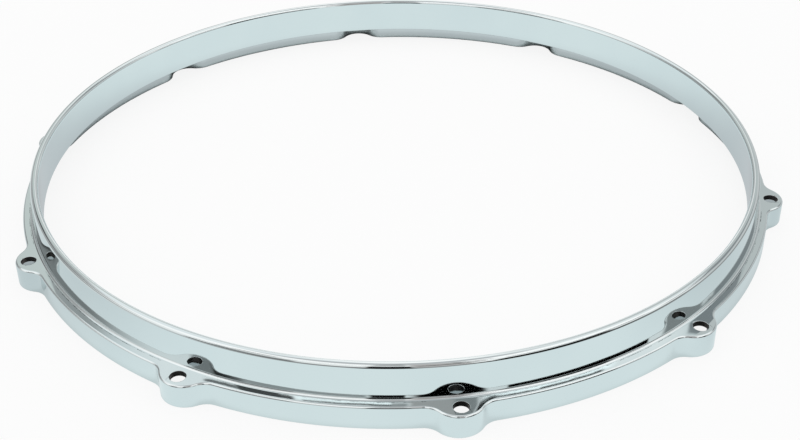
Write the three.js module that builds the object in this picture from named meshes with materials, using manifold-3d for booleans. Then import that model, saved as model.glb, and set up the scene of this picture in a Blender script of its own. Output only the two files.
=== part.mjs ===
// Drum hoop for a 14 inch batter head, one die casting in chromed zinc.
// Millimetres, +Z up. The origin is on the ring's axis, level with the skirt's lower edge.
import * as THREE from 'three';
import { mergeVertices } from 'three/addons/utils/BufferGeometryUtils.js';
import Module from 'manifold-3d';

// Rim, the tall wall around the head
const drumDiameter = 355.6; // nominal size of the drum
const boreClearance = 0.2; // rim bore beyond the nominal radius
const rimWall = 3.8; // at the top, which is fully rounded
const rimTaper = 1.3; // how much thicker it is at the shelf, for the mould's draft
const hoopHeight = 28;
const boreEdgeBreak = 0.4; // lower edge of the bore

// Flange, the shelf outside the rim
const flangeHeight = 11.3; // its top above the skirt's lower edge
const flangeThickness = 2.5;
const footFilletRadius = 1.3; // between the rim and the shelf
const flangeEdgeRadius = 1.0; // where the shelf turns down into the skirt

// Skirt, the thin wall that hangs from the flange around the hollow underside
const gutterWidth = 2.15; // from the rim's foot to the skirt's inner face
const skirtWall = 2.4;
const skirtEdgeBreak = 0.4; // both lower edges
const gutterFilletRadius = 0.8; // under the flange, inside the skirt

// Ears, the lobes that the tension rods pull down on
const earCount = 10;
const rodHoleDiameter = 6.8;
const rodHoleFlare = 0.3; // broken upper edge of the hole
const washerDiameter = 9.6; // flat seat of the rod's washer
const washerClearance = 0.1; // from the washer to the foot fillet
const pocketClearance = 0.1; // from the hole's edge to the inside of the skirt
const pocketNoseRadius = 9.2; // inside of the skirt at an ear's nose
const earFilletRadius = 8.5; // outside, from an ear into the round skirt

// Cutting and faceting
const cutOverrun = 1;
const noseSteps = 4; // stations along half an ear's nose
const filletSteps = 3; // along each fillet beside it
const skirtSteps = 3; // along half the skirt between two ears
const crownSteps = 3; // along each half of the rim's rounded top
const edgeSteps = 2; // along a smaller rounded edge of the section
const footSteps = 3; // along the foot fillet
const holeSegments = 28;

// Radii and levels that follow
const boreRadius = drumDiameter / 2 + boreClearance;
const rimRadius = boreRadius + rimWall;
const rimFootRadius = rimRadius + rimTaper;
const crownRadius = rimWall / 2;
const skirtInnerRadius = rimFootRadius + gutterWidth;
const skirtRadius = skirtInnerRadius + skirtWall;
const shelfUnderside = flangeHeight - flangeThickness;
const rodCircleRadius = rimFootRadius + footFilletRadius + washerClearance + washerDiameter / 2;
const earTipRadius = rodCircleRadius + rodHoleDiameter / 2 + pocketClearance + skirtWall;
const earNoseRadius = pocketNoseRadius + skirtWall;
const noseCentreRadius = earTipRadius - earNoseRadius;

// The rim's outer face leans in by this angle, so the corners at its top and foot are wider than square.
// A round in such a corner starts this share of its radius away from the corner.
const rimDraft = Math.atan(rimTaper / (hoopHeight - flangeHeight));
const setbackShare = 1 / Math.tan((Math.PI / 2 + rimDraft) / 2);

// The outline of an ear is a nose arc and two fillets that meet the round skirt.
// A fillet's centre is the third corner of a triangle over the ring's axis and the nose's centre.
const filletCentreRadius = skirtRadius + earFilletRadius;
const noseToFillet = earNoseRadius + earFilletRadius;
const filletAngle = angleBetween(filletCentreRadius, noseCentreRadius, noseToFillet);
const noseTurn = Math.PI - angleBetween(noseCentreRadius, noseToFillet, filletCentreRadius);
const noseAngle = Math.atan2(
  earNoseRadius * Math.sin(noseTurn),
  noseCentreRadius + earNoseRadius * Math.cos(noseTurn)
);

// Angle between the two sides a and b of a triangle whose third side is c
function angleBetween(a, b, c) {
  return Math.acos((a * a + b * b - c * c) / (2 * a * b));
}

// Distance from the ring's axis to the skirt's outline, moved inwards by inset,
// in the direction that lies angle away from the nearest ear's middle
function outlineRadius(angle, inset) {
  const turn = Math.abs(angle);
  const noseRadius = earNoseRadius - inset;
  const filletRadius = earFilletRadius + inset;
  if (turn >= filletAngle) {
    return skirtRadius - inset;
  }
  const joinX = noseCentreRadius + noseRadius * Math.cos(noseTurn);
  const joinY = noseRadius * Math.sin(noseTurn);
  if (turn <= Math.atan2(joinY, joinX)) {
    const side = noseCentreRadius * Math.sin(turn);
    return noseCentreRadius * Math.cos(turn) + Math.sqrt(noseRadius ** 2 - side ** 2);
  }
  const side = filletCentreRadius * Math.sin(filletAngle - turn);
  return filletCentreRadius * Math.cos(filletAngle - turn) - Math.sqrt(filletRadius ** 2 - side ** 2);
}

// Points of an arc in the section, from one angle to another
function arc(centreR, centreZ, radius, from, to, steps) {
  const points = [];
  for (let i = 0; i <= steps; i++) {
    const t = from + ((to - from) * i) / steps;
    points.push([centreR + radius * Math.cos(t), centreZ + radius * Math.sin(t)]);
  }
  return points;
}

// Closed section of the casting at one angle from the nearest ear, as [radius, height]
function section(angle) {
  const quarter = Math.PI / 2;
  const bore = [
    [boreRadius, shelfUnderside + boreEdgeBreak],
    [boreRadius + boreEdgeBreak, shelfUnderside],
  ];
  const topLevel = hoopHeight - crownRadius;
  const outerCentre = rimRadius - crownRadius * setbackShare;
  const innerTop = arc(boreRadius + crownRadius, topLevel, crownRadius, quarter, 2 * quarter, crownSteps);
  const outerTop = arc(outerCentre, topLevel, crownRadius, rimDraft, quarter, crownSteps);
  const foot = arc(
    rimFootRadius + footFilletRadius * setbackShare,
    flangeHeight + footFilletRadius,
    footFilletRadius,
    3 * quarter,
    2 * quarter + rimDraft,
    footSteps
  );

  // Rounded edge of the shelf, on outlines moved in by what the round takes
  const shelfEdge = [];
  for (let i = 0; i <= edgeSteps; i++) {
    const t = (quarter * i) / edgeSteps;
    const inset = flangeEdgeRadius * (1 - Math.cos(t));
    const drop = flangeEdgeRadius * (1 - Math.sin(t));
    shelfEdge.push([outlineRadius(angle, inset), flangeHeight - drop]);
  }
  const lowerEdge = [
    [outlineRadius(angle, skirtWall), skirtEdgeBreak],
    [outlineRadius(angle, skirtWall - skirtEdgeBreak), 0],
    [outlineRadius(angle, skirtEdgeBreak), 0],
    [outlineRadius(angle, 0), skirtEdgeBreak],
  ];

  // Hollow corner between the shelf's underside and the skirt
  const gutterCorner = [];
  for (let i = 0; i <= edgeSteps; i++) {
    const t = (quarter * i) / edgeSteps;
    const inset = skirtWall + gutterFilletRadius * (1 - Math.sin(t));
    const drop = gutterFilletRadius * (1 - Math.cos(t));
    gutterCorner.push([outlineRadius(angle, inset), shelfUnderside - drop]);
  }
  return [...gutterCorner, ...lowerEdge, ...shelfEdge, ...foot, ...outerTop, ...innerTop, ...bore];
}

// Directions of the stations around the ring: closer together at each ear
function stationAngles() {
  const halfPitch = Math.PI / earCount;
  const half = [];
  for (let i = 0; i < noseSteps; i++) {
    half.push((noseAngle * i) / noseSteps);
  }
  for (let i = 0; i < filletSteps; i++) {
    half.push(noseAngle + ((filletAngle - noseAngle) * i) / filletSteps);
  }
  for (let i = 0; i <= skirtSteps; i++) {
    half.push(filletAngle + ((halfPitch - filletAngle) * i) / skirtSteps);
  }
  const before = half.slice(1, -1).reverse().map((angle) => -angle);
  return [...before, ...half];
}

// Skin lofted through the section at every station, closed around the ring
function ringGeometry() {
  const positions = [];
  const indices = [];
  let stations = 0;
  for (let ear = 0; ear < earCount; ear++) {
    const earAngle = (2 * Math.PI * ear) / earCount;
    for (const angle of stationAngles()) {
      for (const [radius, height] of section(angle)) {
        positions.push(
          radius * Math.cos(earAngle + angle),
          radius * Math.sin(earAngle + angle),
          height
        );
      }
      stations++;
    }
  }
  const sectionSize = section(0).length;
  for (let s = 0; s < stations; s++) {
    const here = s * sectionSize;
    const next = ((s + 1) % stations) * sectionSize;
    for (let p = 0; p < sectionSize; p++) {
      const q = (p + 1) % sectionSize;
      indices.push(here + p, next + p, next + q);
      indices.push(here + p, next + q, here + q);
    }
  }
  const geometry = new THREE.BufferGeometry();
  geometry.setAttribute('position', new THREE.Float32BufferAttribute(positions, 3));
  geometry.setIndex(indices);
  return geometry;
}

// Drill for one rod hole, with the flare that breaks its upper edge
function drillGeometry(earAngle) {
  const holeRadius = rodHoleDiameter / 2;
  const profile = [
    new THREE.Vector2(0, shelfUnderside - cutOverrun),
    new THREE.Vector2(holeRadius, shelfUnderside - cutOverrun),
    new THREE.Vector2(holeRadius, flangeHeight - rodHoleFlare),
    new THREE.Vector2(holeRadius + rodHoleFlare + cutOverrun, flangeHeight + cutOverrun),
    new THREE.Vector2(0, flangeHeight + cutOverrun),
  ];
  const geometry = new THREE.LatheGeometry(profile, holeSegments);
  geometry.rotateX(Math.PI / 2);
  geometry.translate(rodCircleRadius, 0, 0);
  geometry.rotateZ(earAngle);
  return geometry;
}

// A closed mesh as a solid for cutting, and back
function toSolid(wasm, geometry) {
  const bare = geometry.clone();
  bare.deleteAttribute('normal');
  bare.deleteAttribute('uv');
  const merged = mergeVertices(bare);
  const mesh = new wasm.Mesh({
    numProp: 3,
    vertProperties: new Float32Array(merged.getAttribute('position').array),
    triVerts: new Uint32Array(merged.getIndex().array),
  });
  return new wasm.Manifold(mesh);
}

function toGeometry(solid) {
  const mesh = solid.getMesh();
  const geometry = new THREE.BufferGeometry();
  geometry.setAttribute('position', new THREE.BufferAttribute(mesh.vertProperties, mesh.numProp));
  geometry.setIndex(new THREE.BufferAttribute(mesh.triVerts, 1));
  geometry.computeVertexNormals();
  return geometry;
}

function hoopGeometry(wasm) {
  let solid = toSolid(wasm, ringGeometry());
  for (let ear = 0; ear < earCount; ear++) {
    const earAngle = (2 * Math.PI * ear) / earCount;
    solid = solid.subtract(toSolid(wasm, drillGeometry(earAngle)));
  }
  return toGeometry(solid);
}

const wasm = await Module();
wasm.setup();

const chrome = new THREE.MeshStandardMaterial({
  name: 'chrome_plate',
  color: new THREE.Color(0.69, 0.74, 0.75),
  roughness: 0.06,
  metalness: 1,
});

const casting = new THREE.Mesh(hoopGeometry(wasm), chrome);
casting.name = 'hoop_casting';

const hoop = new THREE.Group();
hoop.name = 'drum_hoop';
hoop.add(casting);

export default hoop;
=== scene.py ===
import math

import bmesh
import bpy
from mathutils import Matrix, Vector


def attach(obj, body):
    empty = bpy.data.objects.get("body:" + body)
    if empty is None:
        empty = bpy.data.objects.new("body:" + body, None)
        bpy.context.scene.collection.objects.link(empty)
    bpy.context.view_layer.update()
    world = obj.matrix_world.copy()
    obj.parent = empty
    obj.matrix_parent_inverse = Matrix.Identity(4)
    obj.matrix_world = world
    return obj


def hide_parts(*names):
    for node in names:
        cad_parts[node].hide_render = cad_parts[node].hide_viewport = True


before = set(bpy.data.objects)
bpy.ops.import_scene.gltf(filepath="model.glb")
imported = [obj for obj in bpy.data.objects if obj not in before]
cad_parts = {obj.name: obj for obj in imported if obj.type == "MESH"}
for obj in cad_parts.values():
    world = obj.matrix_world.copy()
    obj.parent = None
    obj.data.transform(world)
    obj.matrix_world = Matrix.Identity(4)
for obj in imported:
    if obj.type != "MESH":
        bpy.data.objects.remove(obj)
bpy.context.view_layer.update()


# selecting and small edit-mode helpers

def deselectAll():
    if bpy.context.object and bpy.context.object.mode != "OBJECT":
        bpy.ops.object.mode_set(mode="OBJECT")
    bpy.ops.object.select_all(action="DESELECT")


def makeActive(piece):
    deselectAll()
    piece.select_set(True)
    bpy.context.view_layer.objects.active = piece


def pick(kind, test):  # kind is verts, edges or faces; edit mode
    mode = {"verts": "VERT", "edges": "EDGE", "faces": "FACE"}[kind]
    bpy.ops.mesh.select_mode(type=mode)
    bpy.ops.mesh.select_all(action="DESELECT")
    mesh = bmesh.from_edit_mesh(bpy.context.object.data)
    for item in getattr(mesh, kind):
        item.select = bool(test(item))
    mesh.select_flush_mode()
    bmesh.update_edit_mesh(bpy.context.object.data)


def near(value, target, slack=2e-6):  # metres
    return abs(value - target) < slack


def atCorner(v, x, z):  # of a section, which is drawn in the plane of x and z
    return near(v.co.x, x) and near(v.co.z, z)


def middleOf(item):
    return sum((v.co for v in item.verts), Vector()) / len(item.verts)


# casting, sizes in metres; bore and heights as in the CAD frame
hoop = {
    "bore": 0.1780,  # radius
    "rimWall": 0.0038,  # at the top, which is fully rounded
    "rimTaper": 0.0013,  # how much thicker it is at the shelf
    "height": 0.0280,
    "boreEdge": 0.0004,
    "shelfTop": 0.0113,
    "shelfThickness": 0.0025,
    "foot": 0.0013,  # fillet from the rim into the shelf
    "shelfEdge": 0.0010,
    "gutter": 0.00215,  # rim's foot to skirt's inner face
    "skirtWall": 0.0024,
    "skirtEdge": 0.0004,
    "gutterFillet": 0.0008,
    "ears": 10,
    "rodCircle": 0.1893,
    "rodHole": 0.0068,  # diameter
    "rodHoleEdge": 0.0003,
    "pocketGap": 0.0001,  # hole's edge to the skirt's inner face
    "pocketNose": 0.0092,  # inner radius of an ear's nose
    "earFillet": 0.0085,
    "shelfBand": 0.0002,  # flat that each swept strip keeps past its fillet
    "noseSteps": 10,
    "filletSteps": 6,
    "skirtSteps": 12,
    "roundSegments": 6,
    "holeSides": 96,
    "holeEdgeSegments": 3,
    "holeSlack": 2e-5,  # how far an edge may lie from a hole's circle and still count as its edge
    "drillDepth": 0.0075,
    "mergeGap": 1e-6,
    "smoothAngle": math.radians(60),
}


def roundCorner(x, z, radius, segments, lean=0.0):  # the corner is wider than square by the lean
    pick("verts", lambda v: atCorner(v, x, z))
    setback = radius / math.tan((math.pi / 2 + lean) / 2)
    bpy.ops.mesh.bevel(
        offset=setback, offset_type="OFFSET", segments=segments, profile=0.5, affect="VERTICES")


def sectionRectangle(name, left, right, low, high):
    deselectAll()
    bpy.ops.mesh.primitive_plane_add(size=1)
    strip = bpy.context.object
    strip.name = name
    bpy.ops.object.mode_set(mode="EDIT")
    bpy.ops.transform.rotate(value=math.pi / 2, orient_axis="X", center_override=(0, 0, 0))
    bpy.ops.transform.resize(value=(right - left, 1, high - low), center_override=(0, 0, 0))
    bpy.ops.transform.translate(value=((left + right) / 2, 0, (low + high) / 2))
    return strip


def extrudeEdge(x0, x1, z0, z1, move):  # the edge between two corners of the section
    def onEdge(e):
        a, b = e.verts
        forth = atCorner(a, x0, z0) and atCorner(b, x1, z1)
        back = atCorner(b, x0, z0) and atCorner(a, x1, z1)
        return forth or back

    pick("edges", onEdge)
    bpy.ops.mesh.extrude_region_move(TRANSFORM_OT_translate={"value": move})


def openSection(x):  # drops the face and the closing edge at x, so that an open strip of edges is left
    pick("faces", lambda f: True)
    bpy.ops.mesh.delete(type="ONLY_FACE")
    pick("edges", lambda e: all(near(v.co.x, x) for v in e.verts))
    bpy.ops.mesh.delete(type="EDGE")


def sweep(stages):  # one spin for each arc of the outline, each from where the last one ended
    bpy.ops.mesh.select_mode(type="VERT")
    bpy.ops.mesh.select_all(action="SELECT")
    for centre, turn, steps in stages:  # spin turns clockwise seen from above
        bpy.ops.mesh.spin(steps=steps, angle=-turn, center=(centre[0], centre[1], 0), axis=(0, 0, 1))


def finishRing(h, halfPitch):  # mirrors half a sector and repeats it round the axis
    copies = h["ears"] - 1
    bpy.ops.mesh.select_all(action="SELECT")
    bpy.ops.mesh.duplicate()
    bpy.ops.transform.resize(value=(1, -1, 1), center_override=(0, 0, 0))
    bpy.ops.mesh.select_all(action="SELECT")
    bpy.ops.mesh.remove_doubles(threshold=h["mergeGap"])
    bpy.ops.mesh.select_all(action="SELECT")
    bpy.ops.mesh.spin(
        steps=copies, dupli=True, angle=2 * halfPitch * copies, center=(0, 0, 0), axis=(0, 0, 1))
    bpy.ops.mesh.select_all(action="SELECT")
    bpy.ops.mesh.remove_doubles(threshold=h["mergeGap"])
    bpy.ops.object.mode_set(mode="OBJECT")


def cornerAngle(a, b, c):  # between sides a and b of a triangle, opposite c
    return math.acos((a * a + b * b - c * c) / (2 * a * b))


def makeHoop(h):
    rimTop = h["bore"] + h["rimWall"]
    rim = rimTop + h["rimTaper"]
    crown = h["rimWall"] / 2
    draft = math.atan(h["rimTaper"] / (h["height"] - h["shelfTop"]))
    skirtIn = rim + h["gutter"]
    skirtOut = skirtIn + h["skirtWall"]
    under = h["shelfTop"] - h["shelfThickness"]
    tip = h["rodCircle"] + h["rodHole"] / 2 + h["pocketGap"] + h["skirtWall"]
    nose = h["pocketNose"] + h["skirtWall"]
    noseCentre = tip - nose
    filletCentre = skirtOut + h["earFillet"]
    reach = nose + h["earFillet"]
    filletTurn = cornerAngle(filletCentre, noseCentre, reach)
    noseTurn = math.pi - cornerAngle(noseCentre, reach, filletCentre)
    noseSeen = math.atan2(nose * math.sin(noseTurn), noseCentre + nose * math.cos(noseTurn))
    halfPitch = math.pi / h["ears"]
    segments = h["roundSegments"]
    origin = (0, 0)

    # rim strip: section at the middle of an ear, open where it meets the shelf
    footEnd = rim + h["foot"] + h["shelfBand"]
    rimStrip = sectionRectangle("rimStrip", h["bore"], rim, under, h["shelfTop"])
    extrudeEdge(h["bore"], rim, h["shelfTop"], h["shelfTop"], (0, 0, h["height"] - h["shelfTop"]))
    pick("verts", lambda v: atCorner(v, rim, h["height"]))
    bpy.ops.transform.translate(value=(rimTop - rim, 0, 0))
    extrudeEdge(rim, rim, under, h["shelfTop"], (footEnd - rim, 0, 0))
    pick("faces", lambda f: True)
    bpy.ops.mesh.dissolve_faces()
    pick("verts", lambda v: atCorner(v, h["bore"], h["shelfTop"]) or atCorner(v, rim, under))
    bpy.ops.mesh.dissolve_verts()
    roundCorner(h["bore"], h["height"], crown, 2 * segments)
    roundCorner(rimTop, h["height"], crown, 2 * segments, draft)
    roundCorner(rim, h["shelfTop"], h["foot"], segments, draft)
    roundCorner(h["bore"], under, h["boreEdge"], segments // 2)
    openSection(footEnd)
    sweep([
        (origin, noseSeen, h["noseSteps"]),
        (origin, filletTurn - noseSeen, h["filletSteps"]),
        (origin, halfPitch - filletTurn, h["skirtSteps"]),
    ])
    finishRing(h, halfPitch)
    print("rim strip swept,", len(rimStrip.data.vertices), "vertices")

    # skirt strip: the same, swept round the ear's nose, its fillet and the round skirt
    inner = tip - h["skirtWall"]
    bandEnd = inner - h["gutterFillet"] - h["shelfBand"]
    skirtStrip = sectionRectangle("skirtStrip", inner, tip, 0, under)
    extrudeEdge(inner, tip, under, under, (0, 0, h["shelfThickness"]))
    extrudeEdge(inner, inner, under, h["shelfTop"], (bandEnd - inner, 0, 0))
    pick("faces", lambda f: True)
    bpy.ops.mesh.dissolve_faces()
    pick("verts", lambda v: atCorner(v, tip, under) or atCorner(v, inner, h["shelfTop"]))
    bpy.ops.mesh.dissolve_verts()
    roundCorner(tip, h["shelfTop"], h["shelfEdge"], segments)
    roundCorner(tip, 0, h["skirtEdge"], segments // 2)
    roundCorner(inner, 0, h["skirtEdge"], segments // 2)
    roundCorner(inner, under, h["gutterFillet"], segments // 2)
    openSection(bandEnd)
    filletAt = (filletCentre * math.cos(filletTurn), filletCentre * math.sin(filletTurn))
    sweep([
        ((noseCentre, 0), noseTurn, h["noseSteps"]),
        (filletAt, filletTurn - noseTurn, h["filletSteps"]),
        (origin, halfPitch - filletTurn, h["skirtSteps"]),
    ])
    finishRing(h, halfPitch)
    print("skirt strip swept,", len(skirtStrip.data.vertices), "vertices")

    # shelf: both strips bridged above and below
    makeActive(rimStrip)
    skirtStrip.select_set(True)
    bpy.ops.object.join()
    casting = bpy.context.object
    casting.name = "chromeHoop"
    bpy.ops.object.mode_set(mode="EDIT")
    for level in (h["shelfTop"], under):
        pick("edges", lambda e: e.is_boundary and near(middleOf(e).z, level))
        bpy.ops.mesh.bridge_edge_loops()
    bpy.ops.mesh.select_all(action="SELECT")
    bpy.ops.mesh.normals_make_consistent(inside=False)
    bpy.ops.object.mode_set(mode="OBJECT")
    print("shelf bridged,", len(casting.data.polygons), "faces")

    # rod holes
    drill = None
    shelfMiddle = h["shelfTop"] - h["shelfThickness"] / 2
    for ear in range(h["ears"]):
        turn = 2 * halfPitch * ear
        deselectAll()
        bpy.ops.mesh.primitive_cylinder_add(
            vertices=h["holeSides"], radius=h["rodHole"] / 2, depth=h["drillDepth"],
            location=(h["rodCircle"] * math.cos(turn), h["rodCircle"] * math.sin(turn), shelfMiddle))
        bpy.ops.object.transform_apply(location=True, rotation=True, scale=True)
        if drill:
            drill.select_set(True)
            bpy.context.view_layer.objects.active = drill
            bpy.ops.object.join()
        drill = bpy.context.object
    makeActive(casting)
    cut = casting.modifiers.new("rodHoles", "BOOLEAN")
    cut.operation = "DIFFERENCE"
    cut.solver = "EXACT"
    cut.object = drill
    bpy.ops.object.modifier_apply(modifier=cut.name)
    bpy.data.objects.remove(drill)

    def onHole(e):  # an edge of a hole's upper rim
        middle = middleOf(e)
        if not all(near(v.co.z, h["shelfTop"]) for v in e.verts):
            return False
        turn = round(math.atan2(middle.y, middle.x) / (2 * halfPitch)) * 2 * halfPitch
        axis = Vector((h["rodCircle"] * math.cos(turn), h["rodCircle"] * math.sin(turn)))
        return all(near((v.co.xy - axis).length, h["rodHole"] / 2, h["holeSlack"]) for v in e.verts)

    bpy.ops.object.mode_set(mode="EDIT")
    pick("edges", onHole)
    print("hole edges", sum(e.select for e in bmesh.from_edit_mesh(casting.data).edges))
    bpy.ops.mesh.bevel(
        offset=h["rodHoleEdge"], segments=h["holeEdgeSegments"], profile=0.5, affect="EDGES")
    bpy.ops.mesh.select_all(action="SELECT")
    bpy.ops.mesh.remove_doubles(threshold=h["mergeGap"])
    bpy.ops.mesh.normals_make_consistent(inside=False)
    bpy.ops.object.mode_set(mode="OBJECT")
    bpy.ops.object.shade_smooth_by_angle(angle=h["smoothAngle"])
    weigh = casting.modifiers.new("flatFaces", "WEIGHTED_NORMAL")
    weigh.keep_sharp = True
    bpy.ops.object.modifier_apply(modifier=weigh.name)
    return casting


casting = makeHoop(hoop)


# chrome

def addNode(tree, kind, **settings):
    node = tree.nodes.new(kind)
    for key, value in settings.items():
        setattr(node, key, value)
    return node


def link(tree, source, sourceSocket, target, targetSocket):
    tree.links.new(source.outputs[sourceSocket], target.inputs[targetSocket])


def newMaterial(name):
    material = bpy.data.materials.new(name)
    material.use_nodes = True
    material.node_tree.nodes.clear()
    return material, material.node_tree


def noiseOn(tree, coordinates, scale, detail):
    noise = addNode(tree, "ShaderNodeTexNoise")
    noise.inputs["Scale"].default_value = scale
    noise.inputs["Detail"].default_value = detail
    link(tree, coordinates, "Object", noise, "Vector")
    return noise


def rangeOn(tree, source, sourceSocket, fromLow, fromHigh, low, high):
    node = addNode(tree, "ShaderNodeMapRange")
    node.inputs["From Min"].default_value = fromLow
    node.inputs["From Max"].default_value = fromHigh
    node.inputs["To Min"].default_value = low
    node.inputs["To Max"].default_value = high
    link(tree, source, sourceSocket, node, "Value")
    return node


def bumpOn(tree, source, sourceSocket, distance, before=None):
    bump = addNode(tree, "ShaderNodeBump")
    bump.inputs["Distance"].default_value = distance
    link(tree, source, sourceSocket, bump, "Height")
    if before:
        link(tree, before, "Normal", bump, "Normal")
    return bump


# scales are patches per metre, heights are metres
chrome = {
    "name": "polishedChrome",
    "pale": (0.690, 0.750, 0.756, 1),
    "deep": (0.665, 0.728, 0.738, 1),
    "colourScale": 22,
    "roughLow": 0.015,
    "roughHigh": 0.050,
    "roughScale": 35,
    "waveScale": 95,  # the slow swell of a polished casting
    "waveHeight": 0.000010,
    "grainScale": 2600,
    "grainHeight": 0.0000006,
}
# left as cast: rougher, and darker in colour as painted shade under the shelf
asCastAndPaintedShade = {
    "name": "chromeOverCasting",
    "pale": (0.600, 0.640, 0.650, 1),
    "deep": (0.470, 0.505, 0.515, 1),
    "colourScale": 160,
    "roughLow": 0.20,
    "roughHigh": 0.38,
    "roughScale": 300,
    "waveScale": 420,
    "waveHeight": 0.000060,
    "grainScale": 3200,
    "grainHeight": 0.000010,
}
paintedShadeInHoles = {  # painted shade: the walls of the rod holes are coloured near black to stand for the shade inside them
    "name": "chromeInHoles",
    "pale": (0.085, 0.075, 0.070, 1),
    "deep": (0.030, 0.027, 0.026, 1),
    "colourScale": 240,
    "roughLow": 0.22,
    "roughHigh": 0.40,
    "roughScale": 400,
    "waveScale": 420,
    "waveHeight": 0.000020,
    "grainScale": 3200,
    "grainHeight": 0.000004,
}
pattern = {  # how the noises are read, the same for all three
    "patchDetail": 2.0,
    "patchLow": 0.35,
    "patchHigh": 0.65,
    "smudgeDetail": 4.0,
    "smudgeLow": 0.3,
    "smudgeHigh": 0.7,
    "waveDetail": 1.0,
    "grainDetail": 2.0,
}


def plating(m, p):
    material, tree = newMaterial(m["name"])
    coordinates = addNode(tree, "ShaderNodeTexCoord")
    shader = addNode(tree, "ShaderNodeBsdfPrincipled")
    shader.inputs["Metallic"].default_value = 1.0
    output = addNode(tree, "ShaderNodeOutputMaterial")
    link(tree, shader, "BSDF", output, "Surface")

    patches = noiseOn(tree, coordinates, m["colourScale"], p["patchDetail"])
    ramp = addNode(tree, "ShaderNodeValToRGB")
    deepStop, paleStop = ramp.color_ramp.elements
    deepStop.position = p["patchLow"]
    deepStop.color = m["deep"]
    paleStop.position = p["patchHigh"]
    paleStop.color = m["pale"]
    link(tree, patches, "Fac", ramp, "Fac")
    link(tree, ramp, "Color", shader, "Base Color")

    smudges = noiseOn(tree, coordinates, m["roughScale"], p["smudgeDetail"])
    rough = rangeOn(tree, smudges, "Fac", p["smudgeLow"], p["smudgeHigh"], m["roughLow"], m["roughHigh"])
    link(tree, rough, "Result", shader, "Roughness")

    swell = noiseOn(tree, coordinates, m["waveScale"], p["waveDetail"])
    wave = bumpOn(tree, swell, "Fac", m["waveHeight"])
    specks = noiseOn(tree, coordinates, m["grainScale"], p["grainDetail"])
    grain = bumpOn(tree, specks, "Fac", m["grainHeight"], wave)
    link(tree, grain, "Normal", shader, "Normal")
    return material


dressing = {
    "finishes": [chrome, asCastAndPaintedShade, paintedShadeInHoles],  # slots 0, 1 and 2
    "downwards": -0.5,  # a face whose normal dips below this looks down
    "levelSlack": 1e-5,
    "holeReach": 0.0001,  # past the hole's radius, so that only the lowest part of its broken edge counts
}


def dressHoop(piece, h, d):  # polished, apart from the shelf's underside, left as cast and darkened as painted shade, and the hole walls, painted shade
    rim = h["bore"] + h["rimWall"]
    under = h["shelfTop"] - h["shelfThickness"]
    pitch = 2 * math.pi / h["ears"]
    piece.data.materials.clear()
    for finish in d["finishes"]:
        piece.data.materials.append(plating(finish, pattern))
    makeActive(piece)
    bpy.ops.object.mode_set(mode="EDIT")

    def onUnderside(f):
        middle = f.calc_center_median()
        if middle.z >= under + d["levelSlack"]:
            return False
        return f.normal.z < d["downwards"] and middle.xy.length > rim

    def onHoleWall(f):
        middle = f.calc_center_median()
        turn = round(math.atan2(middle.y, middle.x) / pitch) * pitch
        axis = Vector((h["rodCircle"] * math.cos(turn), h["rodCircle"] * math.sin(turn)))
        across = (middle.xy - axis).length
        return across < h["rodHole"] / 2 + d["holeReach"] and under < middle.z < h["shelfTop"]

    # slot 1 is the as-cast finish with painted shade under the shelf, slot 2 the painted shade on the
    # hole walls
    for slot, test in ((1, onUnderside), (2, onHoleWall)):
        pick("faces", test)
        piece.active_material_index = slot
        bpy.ops.object.material_slot_assign()
    bpy.ops.object.mode_set(mode="OBJECT")


dressHoop(casting, hoop, dressing)
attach(casting, "root")
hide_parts("hoop_casting")
print("hoop dressed,", len(casting.data.polygons), "faces")


# camera, from the photograph's frame of 800 by 440 pixels

view = {
    "frameWidth": 800,
    "focalPixels": 1291.4,
    "distance": 0.6759,
    "azimuth": math.radians(-79.40),
    "elevation": math.radians(31.23),
    "pitch": math.radians(1.32),  # how far the axis dips below the middle of the hoop's foot
    "yaw": math.radians(-1.32),
    "axisRight": 22.6,  # pixels from the frame's middle to the optical axis
    "axisUp": 4.0,
    "sensor": 36.0,
    "nearest": 0.01,  # metres from the lens, clipped before that
}


def aimCamera(v):
    camera = bpy.data.objects.new("photoCamera", bpy.data.cameras.new("photoCamera"))
    bpy.context.collection.objects.link(camera)
    level = v["distance"] * math.cos(v["elevation"])
    height = v["distance"] * math.sin(v["elevation"])
    camera.location = (level * math.cos(v["azimuth"]), level * math.sin(v["azimuth"]), height)
    tilt = math.pi / 2 - v["elevation"] - v["pitch"]
    turn = v["azimuth"] + math.pi / 2 + v["yaw"]
    camera.rotation_euler = (tilt, 0, turn)
    camera.data.sensor_width = v["sensor"]
    camera.data.lens = v["focalPixels"] / v["frameWidth"] * v["sensor"]
    camera.data.shift_x = -v["axisRight"] / v["frameWidth"]
    camera.data.shift_y = -v["axisUp"] / v["frameWidth"]
    camera.data.clip_start = v["nearest"]
    bpy.context.scene.camera = camera


aimCamera(view)
print("camera aimed")


# floor

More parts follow.
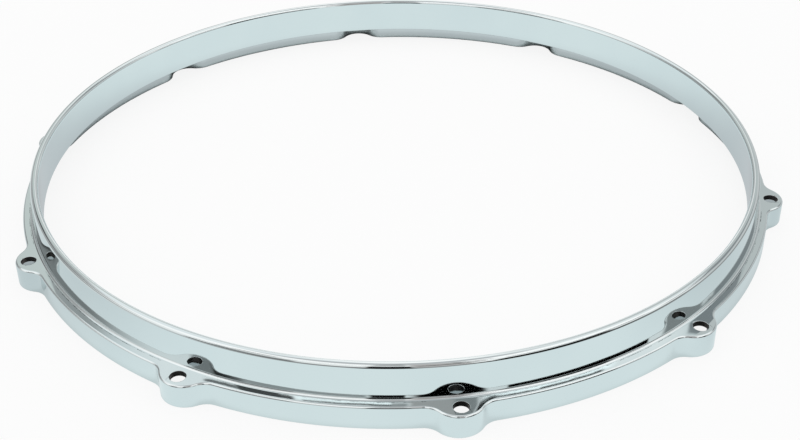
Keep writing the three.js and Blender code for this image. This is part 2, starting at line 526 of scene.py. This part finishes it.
floor = {
    "size": 8.0,
    "drop": 0.00003,  # below the foot, so that the two faces don't flicker
    "colour": (0.93, 0.95, 0.95, 1),
    "seenWhite": 0.86,  # share of plain white in what the camera sees
    "mirrored": (0.90, 0.98, 0.99, 1),  # the lit sheet, as the metal mirrors it
    "sheetFrom": 0.228,  # radii where the pale sheet round the hoop gives way to the darker room
    "sheetTo": 0.238,
    "room": (0.36, 0.36, 0.36, 1),
    "sideShade": (0.71, 0.775, 0.79, 1),  # on the sheet, left and right of the hoop
    "sideFrom": 32,  # degrees either side of the front, as are the next three
    "sideTo": 62,
    "sideEnd": 119,
    "sideFade": 50,
    "footShade": (0.62, 0.65, 0.67, 1),  # inside the ring, near its foot
    "backShade": (0.71, 0.745, 0.76, 1),  # the same at the back
    "backFrom": 104,  # degrees too
    "backTo": 140,
    "footFrom": 0.152,  # radii again
    "footTo": 0.180,
    "footEnd": 0.183,
    "footEndSoftness": 0.004,
    "shadeReach": 0.020,
    "shadeSamples": 24,
    # open share of the sky, light left: the ears' pockets are dark, the gutter between them isn't
    "shades": [(0.18, 0.0), (0.23, 0.20), (0.28, 0.78), (0.50, 0.84), (0.58, 0.97), (0.64, 1.0)],
    "roomCards": [
        # right from, to; softness left, right; colour
        (-180, -42, 1, 34, (0.84, 0.86, 0.86, 1)),
        (118, 180, 20, 1, (0.84, 0.86, 0.86, 1)),
        (-8, 3, 3, 3, (0.01, 0.01, 0.01, 1)),
        (15, 50, 3, 18, (0.02, 0.02, 0.02, 1)),
    ],
}


colourSockets = {"below": 6, "above": 7, "mixed": 2}  # where a mix node keeps its colours
degreesInRadian = 180 / math.pi


def softStep(tree, source, socket, at, width, rising):  # 0 to 1 over the width round the place
    low, high = (0, 1) if rising else (1, 0)
    ramp = rangeOn(tree, source, socket, at - width / 2, at + width / 2, low, high)
    ramp.interpolation_type = "SMOOTHSTEP"
    return ramp


def mathOn(tree, operation, a, socketA, b=None, socketB=0):  # b may be a plain number
    node = addNode(tree, "ShaderNodeMath", operation=operation)
    link(tree, a, socketA, node, 0)
    if isinstance(b, (int, float)):
        node.inputs[1].default_value = b
    elif b is not None:
        link(tree, b, socketB, node, 1)
    return node


def layOver(tree, below, mask, above):  # each is a plain colour or a mix made here
    mix = addNode(tree, "ShaderNodeMix", data_type="RGBA")
    link(tree, mask, 0, mix, "Factor")
    for colour, name in ((below, "below"), (above, "above")):
        socket = mix.inputs[colourSockets[name]]
        if isinstance(colour, tuple):
            socket.default_value = colour
        else:
            tree.links.new(colour.outputs[colourSockets["mixed"]], socket)
    return mix


def degreesRight(tree, coordinates, socket, front):  # of the front, seen from the hoop's axis
    turn = addNode(tree, "ShaderNodeVectorRotate", rotation_type="Z_AXIS")
    turn.inputs["Angle"].default_value = -front
    link(tree, coordinates, socket, turn, "Vector")
    axes = addNode(tree, "ShaderNodeSeparateXYZ")
    link(tree, turn, "Vector", axes, "Vector")
    right = mathOn(tree, "ARCTAN2", axes, "Y", axes, "X")
    return mathOn(tree, "MULTIPLY", right, 0, degreesInRadian)


def between(tree, angle, low, high, softLow, softHigh):  # 1 between the two places, 0 past them
    rising = softStep(tree, angle, 0, low, softLow, True)
    falling = softStep(tree, angle, 0, high, softHigh, False)
    return mathOn(tree, "MULTIPLY", rising, 0, falling)


def layFloor(f):
    deselectAll()
    bpy.ops.mesh.primitive_plane_add(size=f["size"], location=(0, 0, -f["drop"]))
    sheet = bpy.context.object
    sheet.name = "studioFloor"
    material, tree = newMaterial("whiteFloor")
    path = addNode(tree, "ShaderNodeLightPath")
    coordinates = addNode(tree, "ShaderNodeTexCoord")
    right = degreesRight(tree, coordinates, "Object", view["azimuth"])
    aside = mathOn(tree, "ABSOLUTE", right, 0)
    fromAxis = addNode(tree, "ShaderNodeVectorMath", operation="LENGTH")
    link(tree, coordinates, "Object", fromAxis, 0)
    paint = addNode(tree, "ShaderNodeBsdfDiffuse")
    paint.inputs["Color"].default_value = f["colour"]
    plainWhite = addNode(tree, "ShaderNodeEmission")

    # as the metal mirrors it: pale up to the sheet's edge, with the room past it
    room = f["room"]
    for low, high, softLow, softHigh, colour in f["roomCards"]:
        room = layOver(tree, room, between(tree, right, low, high, softLow, softHigh), colour)
    sheetEdge = (f["sheetFrom"] + f["sheetTo"]) / 2
    onSheet = softStep(tree, fromAxis, "Value", sheetEdge, f["sheetTo"] - f["sheetFrom"], False)
    sideEdge = (f["sideFrom"] + f["sideTo"]) / 2
    atSide = between(tree, aside, sideEdge, f["sideEnd"], f["sideTo"] - f["sideFrom"], f["sideFade"])
    pale = layOver(tree, f["mirrored"], atSide, f["sideShade"])
    ground = layOver(tree, room, onSheet, pale)

    # a shade inside the ring's foot, and less light where little of the sky is open
    footEdge = (f["footFrom"] + f["footTo"]) / 2
    nearFoot = softStep(tree, fromAxis, "Value", footEdge, f["footTo"] - f["footFrom"], True)
    inside = softStep(tree, fromAxis, "Value", f["footEnd"], f["footEndSoftness"], False)
    atFoot = mathOn(tree, "MULTIPLY", nearFoot, 0, inside)
    backEdge = (f["backFrom"] + f["backTo"]) / 2
    atBack = softStep(tree, aside, 0, backEdge, f["backTo"] - f["backFrom"], True)
    footShade = layOver(tree, f["footShade"], atBack, f["backShade"])
    ground = layOver(tree, ground, atFoot, footShade)
    sky = addNode(tree, "ShaderNodeAmbientOcclusion", samples=f["shadeSamples"])
    sky.inputs["Distance"].default_value = f["shadeReach"]
    light = addNode(tree, "ShaderNodeValToRGB")
    stops = light.color_ramp.elements
    stops.remove(stops[0])
    for at, left in f["shades"]:
        stop = stops.new(at)
        stop.color = (left, left, left, 1)
    stops.remove(stops[-1])  # the ramp's own last stop
    link(tree, sky, "AO", light, "Fac")
    shaded = addNode(tree, "ShaderNodeMix", data_type="RGBA", blend_type="MULTIPLY")
    shaded.inputs["Factor"].default_value = 1.0
    link(tree, ground, colourSockets["mixed"], shaded, colourSockets["below"])
    link(tree, light, "Color", shaded, colourSockets["above"])
    mirrored = addNode(tree, "ShaderNodeEmission")
    link(tree, shaded, colourSockets["mixed"], mirrored, "Color")

    # the metal sees that, the camera sees mostly plain white with the hoop's shadow
    glossy = mathOn(tree, "MAXIMUM", path, "Is Glossy Ray", path, "Is Transmission Ray")
    seenShare = mathOn(tree, "MULTIPLY", path, "Is Camera Ray", f["seenWhite"])
    withMirrored = addNode(tree, "ShaderNodeMixShader")
    link(tree, glossy, 0, withMirrored, "Fac")
    link(tree, paint, "BSDF", withMirrored, 1)
    link(tree, mirrored, "Emission", withMirrored, 2)
    withSeen = addNode(tree, "ShaderNodeMixShader")
    link(tree, seenShare, 0, withSeen, "Fac")
    link(tree, withMirrored, "Shader", withSeen, 1)
    link(tree, plainWhite, "Emission", withSeen, 2)
    output = addNode(tree, "ShaderNodeOutputMaterial")
    link(tree, withSeen, "Shader", output, "Surface")
    sheet.data.materials.append(material)


layFloor(floor)
print("floor laid")


# studio round the hoop: a white tent, with darker cards where the room shows

tent = {
    "seen": (1, 1, 1, 1),  # what the camera sees of it
    "side": (1.12, 1.1, 1.09, 1),
    "top": (1.36, 1.31, 1.3, 1),
    "topFrom": 26,
    "topTo": 42,
    "front": view["azimuth"],  # cards are given in degrees to the right of this, and up
    "cards": [
        # later ones lie over earlier ones
        # right from, to; softness left, right; up from, to; softness; rise per degree; colour
        (-175, -100, 8, 34, 40, 120, 8, 0, (1.04, 1.06, 1.07, 1)),
        (108, 170, 30, 8, 36, 120, 12, 0, (0.97, 0.99, 0.99, 1)),
        (-400, 400, 1, 1, 70, 120, 12, 0, (0.6, 0.6, 0.61, 1)),
        (-38, -11, 3, 3, 50.5, 54.5, 1, 0, (0.8, 0.78, 0.78, 1)),
        (158, 176, 6, 3, 2, 36, 8, 0, (0.66, 0.66, 0.66, 1)),
        (-176, -158, 3, 6, 2, 36, 8, 0, (0.7, 0.7, 0.7, 1)),
        (-11, 3, 3, 3, 50.5, 120, 1, 0, (0.5, 0.49, 0.49, 1)),
        (-10, 3.5, 6, 3, 33, 50.5, 1, 0, (0.86, 0.85, 0.85, 1)),
        (3.5, 20, 3, 3, -30, 70, 6, 0, (0.6, 0.56, 0.55, 1)),
        (19, 27, 2, 2, 44, 66, 6, 0, (0.38, 0.38, 0.38, 1)),
        (29, 49, 2, 1, 47.4, 49.5, 0.35, -0.05, (1.75, 1.75, 1.75, 1)),
        (27.5, 34.5, 1.2, 1.5, 49.45, 55, 0.3, 0, (0, 0, 0, 1)),
        (30, 49, 1, 1, 49.45, 50.15, 0.3, -0.05, (0, 0, 0, 1)),
        (49, 76, 1, 6, 45.3, 47.5, 0.35, -0.1, (1.75, 1.75, 1.75, 1)),
        (49, 73, 1, 3, 47.5, 48.2, 0.3, -0.1, (0, 0, 0, 1)),
        (-36, -3, 2, 1, 48.4, 50.5, 0.35, 0.03, (1.6, 1.6, 1.6, 1)),
        (-34, -3, 1, 1, 50.5, 51.0, 0.3, 0.03, (0.12, 0.12, 0.12, 1)),
        (-57, -37, 2, 2, 48.3, 49.6, 0.35, 0.1, (0.05, 0.05, 0.05, 1)),
        (-69, -57, 2, 2, 47.0, 48.0, 0.35, 0.1, (0.2, 0.2, 0.2, 1)),
        (-170, -114, 6, 6, -30, 30, 22, 0, (0.48, 0.48, 0.48, 1)),
        (-117, -60, 6, 4, -30, 13, 14, -0.4, (0.42, 0.42, 0.42, 1)),
        (-150, -108, 4, 34, 33, 42, 4, 0, (0.48, 0.48, 0.48, 1)),
        (-160, -90, 4, 36, 22, 32.5, 1.5, 0, (0.31, 0.31, 0.31, 1)),
        (-142, -127, 3, 3, 22, 30.2, 1, 0, (0.1, 0.1, 0.1, 1)),
        (-54, -30, 4, 5, 10, 34, 12, 0, (0.6, 0.6, 0.6, 1)),
        (-60, -28, 4, 3, -30, 14, 12, 0, (0.09, 0.09, 0.09, 1)),
        (-57, -41, 3, 4, 44, 51, 2, 0, (0.1, 0.1, 0.1, 1)),
        (-28, -9, 3, 2, -30, 7, 16, 0, (0.34, 0.34, 0.34, 1)),
        (-9, 3.5, 2, 2, -30, 27, 5, 0, (0.01, 0.01, 0.01, 1)),
        (27, 61, 3, 5, -30, 20, 6, 0.35, (0.01, 0.01, 0.01, 1)),
        (61, 87, 5, 3, -30, 10, 14, 0, (0.16, 0.16, 0.16, 1)),
        (85, 152, 3, 10, -30, 6, 16, 0, (0.4, 0.4, 0.4, 1)),
        (96, 158, 10, 10, 6, 30, 8, 0, (0.72, 0.72, 0.72, 1)),
        (85, 103.5, 2, 2, 26, 33, 1.5, 0, (0.37, 0.37, 0.37, 1)),
        (110, 152, 3, 12, 26, 41.5, 2, 0, (0.34, 0.35, 0.36, 1)),
        (-63, -55.5, 3, 2, 28.8, 33.2, 0.8, 0, (0.3, 0.3, 0.3, 1)),
        (-56, -46, 2, 3, 28.8, 33.2, 0.8, 0, (0.04, 0.04, 0.04, 1)),
        (102.5, 111, 2, 2, 30.65, 34, 0.4, -0.06, (0.36, 0.36, 0.36, 1)),
        (-47, -9.5, 12, 2, 29.2, 32.6, 0.8, 0, (0.46, 0.46, 0.46, 1)),
        (-8.5, 1.5, 2, 1, 29.0, 33.4, 0.8, 0, (0.01, 0.01, 0.01, 1)),
        (4.5, 25, 2, 2, 26, 34, 0.8, 0, (0, 0, 0, 1)),
        (31.5, 79, 1, 1, 28.8, 33.6, 0.8, 0, (0, 0, 0, 1)),
        (147, 170, 4, 4, 20, 45, 4, 0, (0.63, 0.655, 0.65, 1)),
        (-172, -148, 4, 4, 20, 39, 3, 0, (0.71, 0.75, 0.73, 1)),
    ],
}


def buildTent(t):
    world = bpy.data.worlds.new("whiteTent")
    bpy.context.scene.world = world
    world.use_nodes = True
    tree = world.node_tree
    tree.nodes.clear()
    coordinates = addNode(tree, "ShaderNodeTexCoord")
    right = degreesRight(tree, coordinates, "Generated", t["front"])
    direction = addNode(tree, "ShaderNodeSeparateXYZ")
    link(tree, coordinates, "Generated", direction, "Vector")
    upward = mathOn(tree, "ARCSINE", direction, "Z")
    up = mathOn(tree, "MULTIPLY", upward, 0, degreesInRadian)

    topEdge = (t["topFrom"] + t["topTo"]) / 2
    top = softStep(tree, up, 0, topEdge, t["topTo"] - t["topFrom"], True)
    colour = layOver(tree, t["side"], top, t["top"])
    for low, high, softLow, softHigh, upLow, upHigh, softUp, rise, shade in t["cards"]:
        level = up
        if rise:
            fromMiddle = mathOn(tree, "SUBTRACT", right, 0, (low + high) / 2)
            shift = mathOn(tree, "MULTIPLY", fromMiddle, 0, rise)
            level = mathOn(tree, "SUBTRACT", up, 0, shift)
        across = between(tree, right, low, high, softLow, softHigh)
        along = between(tree, level, upLow, upHigh, softUp, softUp)
        card = mathOn(tree, "MULTIPLY", across, 0, along)
        colour = layOver(tree, colour, card, shade)

    path = addNode(tree, "ShaderNodeLightPath")
    seen = layOver(tree, colour, path, t["seen"])
    light = addNode(tree, "ShaderNodeBackground")
    link(tree, seen, colourSockets["mixed"], light, "Color")
    output = addNode(tree, "ShaderNodeOutputWorld")
    link(tree, light, "Background", output, "Surface")


buildTent(tent)
print("tent built")

bpy.context.scene.view_settings.view_transform = "Standard"
